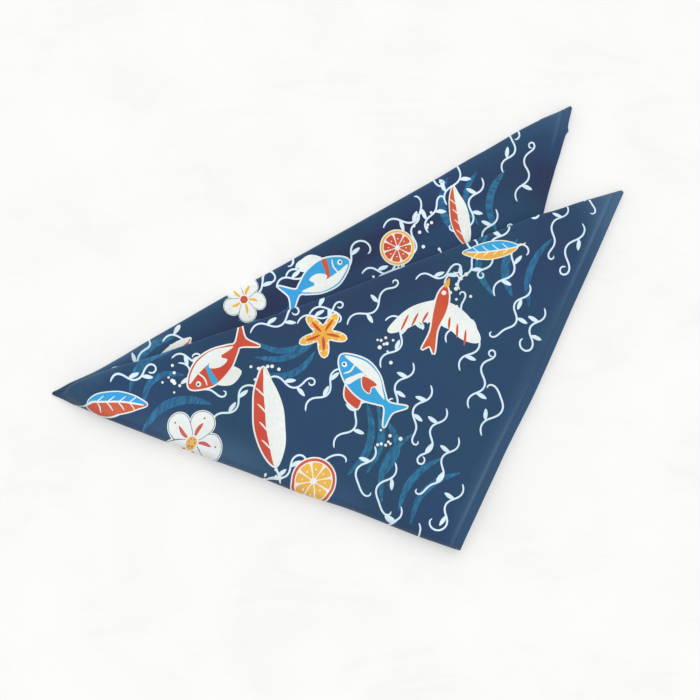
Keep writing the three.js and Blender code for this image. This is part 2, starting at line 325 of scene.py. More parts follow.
NAVY, PALE, WHITE, TEAL, RED, MUSTARD, SKY, BACK = range(8)
INK_NAMES = ("navy", "pale", "white", "teal", "red", "mustard", "sky", "back")

BAND_FADE = 0.42                # half of a band's length that has its full amount, as a share


def bands(place, rows):
    """Sums a table of soft bands: from x, y to x, y, half width, amount."""
    total = np.zeros(len(place))
    for x1, y1, x2, y2, half_width, amount in rows:
        run = np.array([x2 - x1, y2 - y1], float)
        length = np.linalg.norm(run)
        along = (place - (x1, y1)) @ run / length ** 2
        beside = ((place[:, 0] - x1) * run[1] - (place[:, 1] - y1) * run[0]) / length
        ends = np.exp(-((along - 0.5) / BAND_FADE) ** 4)
        total += amount * ends * np.exp(-((beside / half_width) ** 2))
    return total


def slack_rise(flat):
    """Height that the slack adds to a ply with nothing over it."""
    rise = np.zeros(len(flat))
    for along_s, along_t, high, start in SLACK:
        rise += high * np.sin(2 * math.pi * (flat[:, 0] / along_s + flat[:, 1] / along_t) + start)
    return rise


def hem_distance(flat):
    """How far points of the flat cloth lie inside its hem."""
    return SIDE / 2 - np.max(np.abs(flat), axis=1).clip(0, SIDE / 2)


def wavy(along, wave, sway, slow):
    """From 0 to 1 and back along a line, in waves that come unevenly."""
    return 0.5 + 0.5 * np.sin(along / wave + sway * np.sin(along / slow))


def hem_relief(flat, hem_width, on_top):
    """What the turned hem adds to the face: a raised band, gathered by its stitches. It shows
    more where nothing lies over it."""
    inside = hem_distance(flat)
    along = np.min(np.abs(flat), axis=1)
    band = HEM_RISE + HEM_RISE_ON_TOP * on_top
    band = band * (1 - smooth(inside, *(hem_width + HEM_SLOPE)))
    near_stitch = np.exp(-(((inside - STITCH_INSET) / STITCH_GROOVE) ** 2))
    tucked = np.exp(-(((inside - STITCH_INSET) / GATHER_REACH) ** 2))
    gathered = GATHER_RISE + GATHER_RISE_ON_TOP * on_top * wavy(along, *UNEVEN)
    return band - STITCH_SUNK * near_stitch + gathered * tucked * wavy(along, *GATHERS)


def with_tab(flat):
    """Lets a bit of the lower hem stick out by the far corner, as it was sewn."""
    s, t = flat.T
    near = np.exp(-((s - TAB_AT) / (TAB_LENGTH / 2)) ** 6) * smooth(-t, SIDE / 2 - TAB_FADE, SIDE / 2)
    return np.column_stack([s, t - TAB_OUT * near])


def cloth_points(flat, height, cloth):
    """Places of the cloth on the table, with its hem and its soft creases."""
    flat = with_tab(flat)
    laid, on_top = lay_down(flat, height)
    relief = hem_relief(flat, cloth.hem_width / METRES, on_top)
    laid, _ = lay_down(flat, height + relief)
    laid[:, 2] += cloth.crease_depth * bands(laid[:, :2], CREASES) * laid[:, 2] / STACK
    laid[:, 2] += cloth.crease_depth * slack_rise(flat) * on_top * smooth(laid[:, 2], *SLACK_CLEAR)
    laid[:, 2] = np.maximum(laid[:, 2], 0)
    return laid


def face_normals(flat, height, cloth):
    """Directions out of the printed face, from points a little to each side."""
    run, rise = (
        cloth_points(flat + step, height, cloth) - cloth_points(flat - step, height, cloth)
        for step in NORMAL_STEP * np.eye(2)
    )
    return unit(np.cross(run, rise))


# Drawing kit for the print: every shape is a closed outline in millimetres

SPACING = 1.8                   # from one point of an outline to the next
HAND_WAVER = 0.28
VINE_STEP, VINE_WIDTH, VINE_SWAY = 1.5, 1.2, 0.8
CURL_LENGTH, CURL = 15, 0.019   # the end of a vine that curls, and how sharply
LEAF_TURN = 52


def soft_step(before, here, after, beyond, steps):
    """Points from here on towards the next corner, on a soft line past both neighbours."""
    share = np.arange(steps)[:, None] / steps
    return 0.5 * (
        2 * here
        + (after - before) * share
        + (2 * before - 5 * here + 4 * after - beyond) * share ** 2
        + (3 * here - before - 3 * after + beyond) * share ** 3
    )


def smooth_closed(rows, spacing=SPACING):
    """A soft closed outline through a short list of corners."""
    rows = np.array(rows, float)
    outline = []
    for index, here in enumerate(rows):
        after = rows[(index + 1) % len(rows)]
        steps = max(2, round(np.linalg.norm(after - here) / spacing))
        outline.append(soft_step(rows[index - 1], here, after, rows[(index + 2) % len(rows)], steps))
    return np.vstack(outline)


def smooth_open(rows, spacing=SPACING):
    """A soft line through a short list of points."""
    rows = np.array(rows, float)
    line = []
    for index in range(len(rows) - 1):
        before = rows[max(0, index - 1)]
        beyond = rows[min(len(rows) - 1, index + 2)]
        steps = max(2, round(np.linalg.norm(rows[index + 1] - rows[index]) / spacing))
        line.append(soft_step(before, rows[index], rows[index + 1], beyond, steps))
    return np.vstack([*line, rows[-1:]])


def round_outline(x, y, radius, count=None):
    count = count or max(8, round(2 * math.pi * radius / SPACING))
    turn = np.arange(count) * 2 * math.pi / count
    return np.column_stack([x + radius * np.cos(turn), y + radius * np.sin(turn)])


def aside_of(ahead):
    """Unit steps to the left of each way ahead."""
    x, y = unit(ahead).T
    return np.column_stack([-y, x])


def brush_line(line, width, point=0.5):
    """The outline of a stroke along a line. A low point keeps it wide to its round ends."""
    aside = aside_of(np.gradient(line, axis=0))
    far = np.concatenate([[0], np.cumsum(np.linalg.norm(np.diff(line, axis=0), axis=1))])
    share = far / far[-1]
    ends = np.minimum(1, np.minimum(far, far[-1] - far) / (width / 2) + 0.35)
    swell = np.minimum(ends, np.maximum(0.05, 4 * share * (1 - share)) ** point)
    half = (width / 2 * swell)[:, None] * aside
    return np.vstack([line + half, (line - half)[::-1]])


def grown(outline, by):
    """An outline moved outwards, for the white edge that each painted shape has."""
    x, y = outline.T
    turning = np.sign(np.sum(x * np.roll(y, -1) - y * np.roll(x, -1)))
    aside = aside_of(np.roll(outline, -1, axis=0) - np.roll(outline, 1, axis=0))
    return outline - by * turning * aside


def turned_by(shape, degrees, size=1.0, at=(0, 0)):
    ahead = direction(degrees, size)
    spin = np.array([[ahead[0], ahead[1]], [-ahead[1], ahead[0]]])
    return np.asarray(shape) @ spin + np.asarray(at, float)


def hand_drawn(outline):
    """Lets an outline waver a little, as a painted one does."""
    x, y = outline.T
    waver = HAND_WAVER * np.column_stack([
        np.sin(x / 7.3 + y / 11.0) + 0.6 * np.sin(y / 3.9 - x / 6.1),
        np.sin(y / 8.1 - x / 9.7) + 0.6 * np.sin(x / 4.3 + y / 5.2),
    ])
    return outline + waver


# Painted shapes, each a list of (ink, outline) from the bottom layer up, 100 units long

def edged(ink, outline, by):
    """A painted shape, over its white edge."""
    return [(WHITE, grown(outline, by)), (ink, outline)]


def dot(far, out, turn, radius, count=7):
    """A small round dot, turned about the middle to its place."""
    return round_outline(*turned_by([(far, out)], turn)[0], radius, count)


def fish(first, second, third):
    body = smooth_closed([
        (50, -1), (40, 11), (20, 19), (-6, 17), (-25, 7), (-34, 4), (-52, 21), (-46, 1),
        (-54, -18), (-33, -5), (-22, -9), (-2, -18), (20, -20), (40, -12),
    ], 3)
    belly = smooth_closed([
        (46, -4), (30, -5), (6, -6), (-18, -3), (-27, -3),
        (-20, -8), (-2, -17), (20, -18), (38, -11),
    ], 3)
    back_fin = smooth_closed([(20, 17), (8, 31), (-10, 30), (-12, 26), (-6, 16), (8, 15)], 3)
    side_fin = smooth_closed([(12, -2), (2, 6), (-9, 5), (-5, -1), (-8, -8), (2, -7)], 3)
    stripe = smooth_closed([(17, 18), (14, 4), (10, -5), (16, -5), (20, 4), (24, 17)], 3)
    gill = brush_line(smooth_open([(31, 13), (27, 4), (30, -9)], 3), 2.2, 0.3)
    return [
        *edged(third, back_fin, 2), *edged(first, body, 2),
        (second, stripe), (WHITE, belly), *edged(third, side_fin, 1.2),
        (WHITE, gill), (WHITE, round_outline(38, 4, 3.6)), (NAVY, round_outline(38.6, 4, 1.7)),
    ]


def star(first, second, third):
    turn = np.arange(70) * 2 * math.pi / 70
    reach = 50 * (0.36 + 0.64 * ((1 + np.cos(5 * turn)) / 2) ** 1.5)
    body = np.column_stack([reach * np.cos(turn), reach * np.sin(turn)])
    layers = edged(first, body, 2.6)
    for arm in range(5):
        ridge = turned_by(smooth_open([(6, 0), (20, 1), (36, 0)], 3), 72 * arm)
        layers.append((second, brush_line(ridge, 6, 0.6)))
        for far, out in ((22, 8), (22, -8), (36, 5.4), (36, -5.4)):
            layers.append((WHITE, dot(far, out, 72 * arm, 1.8)))
    return layers


def flower(first, second, third):
    petal = smooth_closed([(2, 0), (14, 14), (34, 20), (48, 9), (49, -8), (36, -17), (14, -10)], 4)
    petals = [turned_by(petal, 72 * turn) for turn in range(5)]
    layers = [(WHITE, grown(one, 2.4)) for one in petals]
    rib = smooth_open([(8, 1), (20, 3), (33, 1)], 4)
    for turn, one in enumerate(petals):
        layers += [(NAVY if first == WHITE else WHITE, grown(one, 0.9)), (first, one)]
        layers.append((second, brush_line(turned_by(rib, 72 * turn), 6, 0.7)))
        layers.append((WHITE if first != WHITE else second, dot(40, 3, 72 * turn, 1.7)))
    layers += [(WHITE, round_outline(0, 0, 11)), (third, round_outline(0, 0, 8.6))]
    for turn in range(6):
        layers.append((NAVY, dot(5, 0, 60 * turn, 1.1, 6)))
    return layers


def slice_of_fruit(first, second, third):
    layers = [(WHITE, round_outline(0, 0, 51)), (first, round_outline(0, 0, 48))]
    layers.append((WHITE, round_outline(0, 0, 42)))
    wedge = smooth_closed([(6, 0), (22, 7.5), (37, 11), (39.5, 0), (37, -11), (22, -7.5)], 4)
    for turn in range(8):
        layers.append((second, turned_by(wedge, 45 * turn + 12)))
        layers.append((WHITE, dot(25, 1.5, 45 * turn + 12, 1.9)))
    return layers


def leaf(first, second, third):
    blade = smooth_closed([
        (-50, 0), (-40, 8), (-22, 14), (2, 16), (26, 12), (42, 6), (54, -2),
        (38, -7), (22, -12), (0, -15), (-24, -13), (-42, -7),
    ], 3)
    half = smooth_closed([
        (-49, 0), (-24, 1.5), (2, 2), (28, 1), (53, -2),
        (38, -7), (22, -12), (0, -15), (-24, -13), (-42, -7),
    ], 3)
    middle = smooth_open([(-66, -4), (-48, 0), (-20, 2), (8, 2), (34, 0), (48, -2)], 4)
    layers = [*edged(first, blade, 1.8), (second, half), (third, brush_line(middle, 2.6, 0.15))]
    for at in (-32, -14, 4, 22):
        for side in (1, -1):
            vein = smooth_open([(at, 1.5), (at + 7, 5 * side + 1), (at + 12, 10 * side)], 3)
            layers.append((third, brush_line(vein, 1.7, 0.3)))
    return layers


def bird(first, second, third):
    """A small bird in flight, seen from above."""
    body = smooth_closed([
        (40, 2), (28, 8), (6, 8), (-20, 4), (-46, 9), (-40, 0), (-48, -8), (-20, -4), (6, -7), (28, -5),
    ], 3)
    far_wing = smooth_closed([(16, 5), (8, 26), (-10, 46), (-34, 56), (-26, 38), (-12, 20), (-6, 5)], 3)
    near_wing = smooth_closed([
        (16, -4), (14, -24), (2, -44), (-18, -58), (-20, -38), (-12, -20), (-6, -4),
    ], 3)
    layers = [*edged(first, far_wing, 2), *edged(first, near_wing, 2)]
    for out in (1, -1):
        for far in (14, 26, 38):
            feather = smooth_open([(8 - 0.42 * far, out * far), (-4 - 0.66 * far, out * (far + 3))], 3)
            layers.append((second, brush_line(feather, 3.2, 0.5)))
    layers += [*edged(second, body, 2), (WHITE, round_outline(30, 2, 3.2, 8))]
    layers.append((third, smooth_closed([(39, 5), (52, 1), (39, -2)], 3)))
    return layers


SHAPES = {
    "fish": fish, "star": star, "flower": flower, "slice": slice_of_fruit, "leaf": leaf, "bird": bird,
}

# The large shapes of one side of the cloth, between its middle and its hem: kind, place out
# from the middle and across, turn, length, inks. The opposite side repeats them, turned.

LARGE = [
    ("leaf", 38, 12, 24, 38, SKY, RED, WHITE),
    ("fish", 86, 62, -112, 49, RED, SKY, WHITE),
    ("flower", 92, 12, 10, 38, WHITE, RED, MUSTARD),
    ("star", 138, 106, 12, 31, MUSTARD, RED, WHITE),
    ("leaf", 130, 44, 124, 58, RED, WHITE, WHITE),
    ("fish", 178, 88, 158, 50, SKY, WHITE, RED),
    ("slice", 172, 22, 0, 28, RED, MUSTARD, WHITE),
    ("bird", 200, 146, 100, 50, WHITE, RED, MUSTARD),
    ("leaf", 212, 198, 212, 34, MUSTARD, SKY, WHITE),
    ("fish", 94, -36, 24, 49, WHITE, RED, SKY),
    ("star", 136, -84, 40, 31, RED, WHITE, WHITE),
    ("leaf", 140, -24, -30, 56, SKY, WHITE, WHITE),
    ("flower", 186, -130, 20, 38, WHITE, RED, MUSTARD),
    ("bird", 200, -58, 60, 50, WHITE, SKY, RED),
]

# Large shapes of the sides between those

LARGE_BETWEEN = [
    ("leaf", 66, 44, 60, 32, WHITE, RED, WHITE),
    ("flower", 102, 92, 10, 27, WHITE, MUSTARD, RED),
    ("fish", 144, 118, 48, 47, SKY, RED, WHITE),
    ("slice", 188, 152, 0, 22, MUSTARD, RED, WHITE),
    ("leaf", 222, 182, 120, 36, RED, WHITE, WHITE),
    ("bird", 200, 96, 20, 49, WHITE, RED, MUSTARD),
    ("flower", 150, 50, 40, 38, WHITE, SKY, RED),
    ("leaf", 96, 6, -40, 54, SKY, WHITE, WHITE),
    ("fish", 188, 10, 140, 50, RED, WHITE, SKY),
    ("star", 140, -50, 0, 32, WHITE, SKY, RED),
    ("slice", 200, -70, 0, 31, SKY, MUSTARD, WHITE),
]

# Brushed leaves in the ground: place out and across, turn of the group

BRUSHED = [
    (56, 32, 60), (226, 46, 80), (192, 56, 100), (226, 190, 110), (118, 88, 30), (112, -56, 100),
    (166, -104, 60), (216, -24, 120), (212, -180, 20),
]

# Rows of vines in the outer band: how far inside the hem, and from one vine to the next

BORDER_ROWS = (17, 32, 47, 62, 78)
BORDER_PITCH = 52

# Spray: drops in each patch of it and how far they scatter, then places out and across

SPRAY_DROPS, SPRAY_SCATTER = 9, 5
DROPS = [
    (112, 70), (180, 118), (146, 14), (66, 40), (208, 64), (114, -8), (176, -40), (108, -76), (206, 168),
]

# Vines in the central field: place out and across of the start, turn, length

VINES = [
    (30, 20, 44, 30), (62, 50, -20, 32), (100, 24, 70, 38), (96, 86, 52, 34), (150, 56, 74, 40),
    (150, 116, 64, 40), (176, 44, 80, 44), (182, 100, 84, 40), (144, 4, 60, 34), (120, 104, 50, 30),
    (112, -26, -40, 38), (64, -20, -130, 30), (166, -14, -60, 40), (160, -56, -100, 40),
    (112, -96, -60, 34), (184, -96, -80, 44), (158, -130, -60, 34), (176, 160, 40, 30),
    (180, 4, 96, 40), (118, 62, 24, 30),
    (124, 112, 46, 16), (170, 128, 30, 26), (58, 50, 30, 16), (206, 166, 100, 18),
]


SMALL_LEAF = smooth_closed([(0, 0), (2.6, 1.5), (5.6, 1.2), (7.6, 0.1), (5.4, -1.0), (2.4, -0.9)])


def vine(length, wave, curl, leaves):
    """A fine trailing line: it sways softly, curls at its end and has a few small leaves."""
    far = np.arange(0, length + CURL_LENGTH, VINE_STEP)
    past = np.clip(far - length, 0, None)
    heading = VINE_SWAY * np.cos(2 * math.pi * far / wave) + curl * CURL * past ** 2
    stem = np.cumsum(VINE_STEP * np.column_stack([np.cos(heading), np.sin(heading)]), axis=0)
    strokes = [brush_line(stem, VINE_WIDTH, 0.08)]
    for share, side in leaves:
        at = int(share * len(stem))
        turn = math.degrees(heading[at]) + LEAF_TURN * side
        strokes.append(turned_by(SMALL_LEAF, turn, 1, stem[at]))
    return strokes


def brushed_leaves(rng):
    """Broad strokes side by side, pointed at both ends, as from a half-dry brush."""
    strokes = []
    count = rng.integers(2, 4)
    side = rng.choice([-1, 1])
    for index in range(count):
        reach = 32 + 15 * rng.random()
        bend = side * (5 + 4 * rng.random())
        line = [(0, 0), (0.35 * reach, bend), (0.7 * reach, 0.9 * bend), (reach, 0)]
        turn = side * 12 * (index - count / 2) + 8 * rng.random()
        start = (-reach / 2 + 5 * rng.random(), 11.5 * (index - count / 2))
        stroke = brush_line(smooth_open(line, 2.6), 3.9 + 1.6 * rng.random(), 0.6)
        strokes.append(turned_by(stroke, turn, 1, start))
    return strokes


def place_on_side(outline, out, across, side):
    """Moves a shape to its place on one of the four sides, 0 being the one at +s."""
    return turned_by(np.asarray(outline) + (out, across), 90 * side)


def border_vines(side, rng):
    """The outer band of one side: rows of vines, each a little out of line."""
    shapes = []
    for row, inset in enumerate(BORDER_ROWS):
        reach = SIDE / 2 - inset
        count = int(2 * reach / BORDER_PITCH)
        for index in range(count):
            way = rng.choice([-1, 1])
            length = 28 + 14 * rng.random()
            middle = (index + 0.3 + 0.4 * (row % 2)) * 2 * reach / count - reach + rng.uniform(-4, 4)
            start = middle - way * length / 2
            curl = way if row == 0 else rng.choice([-1, 1])
            leaves = [(0.24, rng.choice([-1, 1])), (0.5, rng.choice([-1, 1]))]
            turn = 90 * way + rng.uniform(-3, 3)
            for stroke in vine(length, 24 + 8 * rng.random(), curl, leaves[:1 + index % 2]):
                shapes.append((PALE, place_on_side(turned_by(stroke, turn), reach, start, side)))
    return shapes


def printed_shapes():
    """All shapes of the print as (ink, outline), from the bottom up."""
    rng = np.random.default_rng(7)
    shapes = []
    for side in range(4):
        for out, across, turn in BRUSHED:
            for stroke in brushed_leaves(rng):
                shapes.append((TEAL, place_on_side(turned_by(stroke, turn), out, across, side)))
    for side in range(4):
        for out, across, turn, length in VINES:
            curl = rng.choice([-1, 1])
            for stroke in vine(length, 24 + 8 * rng.random(), curl, [(0.3, -curl), (0.52, curl)]):
                shapes.append((PALE, place_on_side(turned_by(stroke, turn), out, across, side)))
        shapes += border_vines(side, rng)
    for side in range(4):
        for out, across in DROPS:
            for _ in range(SPRAY_DROPS):
                x = out + rng.normal(0, SPRAY_SCATTER)
                y = across + rng.normal(0, SPRAY_SCATTER)
                drop = round_outline(x, y, 0.7 + 0.7 * rng.random(), 7)
                shapes.append((WHITE, place_on_side(drop, 0, 0, side)))
        for kind, out, across, turn, length, *inks in (LARGE_BETWEEN if side % 2 else LARGE):
            for ink, outline in SHAPES[kind](*inks):
                moved = hand_drawn(turned_by(outline, turn, length / 100))
                shapes.append((ink, place_on_side(moved, out, across, side)))
    return shapes


PAST_FIRST_FOLD = 24            # by how much t is over s, in a shape that never shows


def hidden(outline):
    """True for a shape that lies well within the half of the cloth that is folded inside."""
    return np.max(outline[:, 0] - outline[:, 1]) < -PAST_FIRST_FOLD


# Meshing the flat cloth

GRID_STEP, GRID_REACH = 5.0, 265
CREASE_STEP = 7.0
HEM_SPACING = 3.0
HEM_RINGS = (0, 0.5, 2.4, 4.0, 4.8, 5.6, 6.5, 8.0)
EDGE_CLEAR = 0.01               # lines end so far inside the cloth's outline
ON_EDGE = 0.03                  # points so close to the outline are on it
MERGE = 0.02                    # points so close together become one
SLIVER = 0.02                   # twice the area of the largest triangle that counts as a sliver
LEAST_CUT = 0.8


def square_outline(inset, spacing):
    """The square, a distance inside its hem, with its corners cut a little."""
    half = SIDE / 2 - inset
    cut = max(LEAST_CUT, CORNER_CUT * math.sqrt(2) - inset)
    corners = np.vstack([
        turned_by([(half, half - cut), (half - cut, half)], 90 * side) for side in range(4)
    ])
    line = []
    for index, here in enumerate(corners):
        after = corners[(index + 1) % len(corners)]
        steps = max(1, round(np.linalg.norm(after - here) / spacing))
        line.append(here + (after - here) * np.arange(steps)[:, None] / steps)
    return np.vstack(line)


# The folds: plies folded at once, directions of the crease in the flat cloth, steps round it,
# and how far from the middle of the cloth its lines start

FOLDS = [
    (1, (0, 180), 6, 0.8),
    (2, (90, 270), 8, 0.8),
    (4, (SPLIT, 180 - SPLIT, 180 + SPLIT, 360 - SPLIT), 12, 2.5),
]


def crease_lines():
    """Straight lines beside each fold of the cloth, close enough for its curve."""
    lines = []
    for plies, angles, steps, start in FOLDS:
        stack = plies * PLY + (plies - 1) * GAP
        band = math.pi * (stack + (LAST_GAP if plies == 4 else GAP)) / 4
        for angle in angles:
            for off in band * np.linspace(-1, 1, steps + 1):
                reach = HALF_DIAGONAL - abs(off) - CORNER_CUT
                if plies == 4:
                    reach = SIDE / 2 / max(abs(direction(angle - 45))) - EDGE_CLEAR
                far = np.linspace(start, reach, int(reach / CREASE_STEP))
                uv = np.outer(far, direction(angle)) + off * direction(angle + 90)
                u, v = uv.T
                line = np.column_stack([u + v, u - v]) / math.sqrt(2)
                lines.append(np.clip(line, EDGE_CLEAR - SIDE / 2, SIDE / 2 - EDGE_CLEAR))
    return lines


def inside_outline(points, outline):
    """Which points lie inside an outline that may cross itself."""
    x, y = points.T
    turns = np.zeros(len(points), int)
    for (x1, y1), (x2, y2) in zip(outline, np.roll(outline, -1, axis=0)):
        left = (x2 - x1) * (y - y1) - (x - x1) * (y2 - y1)
        turns += (y1 <= y) & (y2 > y) & (left > 0)
        turns -= (y1 > y) & (y2 <= y) & (left < 0)
    return turns != 0


def is_sliver(corners):
    """True for a triangle whose corners are all on one side of the square."""
    run = corners[:, 1] - corners[:, 0]
    rise = corners[:, 2] - corners[:, 0]
    double_area = np.abs(run[:, 0] * rise[:, 1] - run[:, 1] * rise[:, 0])
    inside = hem_distance(corners.reshape(-1, 2)).reshape(-1, 3).max(axis=1)
    return (inside < ON_EDGE) & (double_area < SLIVER)


def triangulate(loops, lines, loose):
    """Triangles of the flat square, with edges along every loop and line."""
    points = []
    edges = []
    for shape, closed in [(loop, True) for loop in loops] + [(line, False) for line in lines]:
        first = len(points)
        points += [tuple(point) for point in shape]
        edges += [(index, index + 1) for index in range(first, len(points) - 1)]
        if closed:
            edges.append((len(points) - 1, first))
    points += [tuple(point) for point in loose]
    verts, _, faces, *_ = delaunay_2d_cdt(points, edges, [], 0, MERGE, False)
    flat, faces = np.array([tuple(vert) for vert in verts]), np.array(faces)
    return flat, faces[~is_sliver(flat[faces])]


def paint(flat, triangles, shapes):
    """The ink of each triangle: that of the last shape painted over its middle."""
    middles = flat[triangles].mean(axis=1)
    inks = np.full(len(triangles), NAVY)
    order = np.argsort(middles[:, 0])
    sorted_s = middles[order, 0]
    for ink, outline in shapes:
        low, high = outline.min(axis=0), outline.max(axis=0)
        first, last = np.searchsorted(sorted_s, [low[0], high[0]])
        near = order[first:last]
        near = near[(middles[near, 1] >= low[1]) & (middles[near, 1] <= high[1])]
        if len(near):
            inks[near[inside_outline(middles[near], outline)]] = ink
    return inks


def rim_order(flat):
    """The points on the cloth's outline, in order round it."""
    cut_at = SIDE - CORNER_CUT * math.sqrt(2)
    on_rim = (hem_distance(flat) < ON_EDGE) | (np.abs(flat).sum(axis=1) > cut_at - ON_EDGE)
    on_rim = np.where(on_rim)[0]
    return on_rim[np.argsort(np.arctan2(flat[on_rim, 1], flat[on_rim, 0]))]


def thickness_at(flat, cloth):
    """Thin cloth, and the layers of it in the turned hem."""
    hem_width = cloth.hem_width / METRES
    hem = 1 - smooth(hem_distance(flat), *(hem_width + HEM_THINS))
    return cloth.thickness / METRES * (1 + (HEM_LAYERS - 1) * hem)


def folded_sheet(cloth):
    """The folded sheet as arrays: points, their normals and flat places, triangles, inks."""
    shapes = [(ink, outline) for ink, outline in printed_shapes()
              if hem_distance(outline).min() > PLAIN_MARGIN and not hidden(outline)]
    rings = [square_outline(inset, HEM_SPACING) for inset in HEM_RINGS]
    steps = np.arange(-GRID_REACH, GRID_REACH + 1, GRID_STEP)
    loose = np.array([(s, t) for s in steps for t in steps])
    creases = crease_lines()
    front, front_triangles = triangulate(rings + [outline for _, outline in shapes], creases, loose)
    back, back_triangles = triangulate(rings, creases, loose)
    front_rim, back_rim = rim_order(front), rim_order(back)
    if len(front_rim) != len(back_rim):
        raise RuntimeError("The two faces of the cloth don't meet along the hem")

    thick = thickness_at(back, cloth)
    points = [cloth_points(front, FACE, cloth), cloth_points(back, FACE - thick, cloth)]
    normals = [face_normals(front, FACE, cloth), -face_normals(back, FACE - thick, cloth)]
    flats = [front, back]
    edge = front[front_rim]
    outward = -aside_of(np.roll(edge, -1, axis=0) - np.roll(edge, 1, axis=0))
    rows = [front_rim]
    for out, down in RIM:
        rows.append(sum(len(part) for part in points) + np.arange(len(edge)))
        height = FACE - down * thickness_at(edge, cloth)
        points.append(cloth_points(edge + out * outward, height, cloth))
        normals.append(np.zeros_like(points[-1]))
        flats.append(edge)
    rows.append(len(front) + back_rim)

    triangles = [front_triangles, back_triangles[:, ::-1] + len(front)]
    inks = [paint(front, front_triangles, shapes), np.full(len(back_triangles), BACK)]
    for upper, lower in zip(rows, rows[1:]):
        triangles.append(np.column_stack([upper, lower, np.roll(lower, -1)]))
        triangles.append(np.column_stack([upper, np.roll(lower, -1), np.roll(upper, -1)]))
        inks.append(np.full(2 * len(upper), NAVY))
    return [np.concatenate(part) for part in (points, normals, flats, triangles, inks)]


# Materials

INK_HEX = {
    NAVY: "#1e3f5f", PALE: "#cfe3ee", WHITE: "#dfe4e1", TEAL: "#27759c", RED: "#c24f34",
    MUSTARD: "#e1ab40", SKY: "#319dd2", BACK: "#61759a",
}
PAINTED_LIGHT_TINT = "#90bde2"      # pale blue that painted light mixes in
PAINTED_LIGHT_SHARE = 0.24             # how much of it the strongest painted light mixes in
PAINTED_SHADE_TINT = "#1e2c4e"           # violet navy that painted shade deepens the ground towards
SEWING_THREAD = "#2a3c5c"
TABLE_PAINT = "#b8b8b7"
DAYLIGHT = (1, 1, 0.99, 1)


def linear(hex_colour):
    """An sRGB hex colour as the linear values that shaders take."""
    parts = [int(hex_colour[at:at + 2], 16) / 255 for at in (1, 3, 5)]
    return [part / 12.92 if part <= 0.04045 else ((part + 0.055) / 1.055) ** 2.4 for part in parts]


def add_node(tree, kind, inputs=(), output=0, **settings):
    """Adds a shader node with its settings. Its inputs come in order or by name, and each is a
    value or a link to another node's output. Returns one of its own outputs. The colours of a
    Mix node are its inputs 6 and 7 and its output 2."""
    node = tree.nodes.new(kind)
    for name, value in settings.items():
        setattr(node, name, value)
    for name, value in inputs.items() if isinstance(inputs, dict) else enumerate(inputs):
        if isinstance(value, bpy.types.NodeSocket):
            tree.links.new(value, node.inputs[name])
        else:
            node.inputs[name].default_value = value
    return node.outputs[output] if len(node.outputs) else None


def new_material(name):
    material = bpy.data.materials.new(name)
    material.use_nodes = True
    material.node_tree.nodes.clear()
    return material, material.node_tree


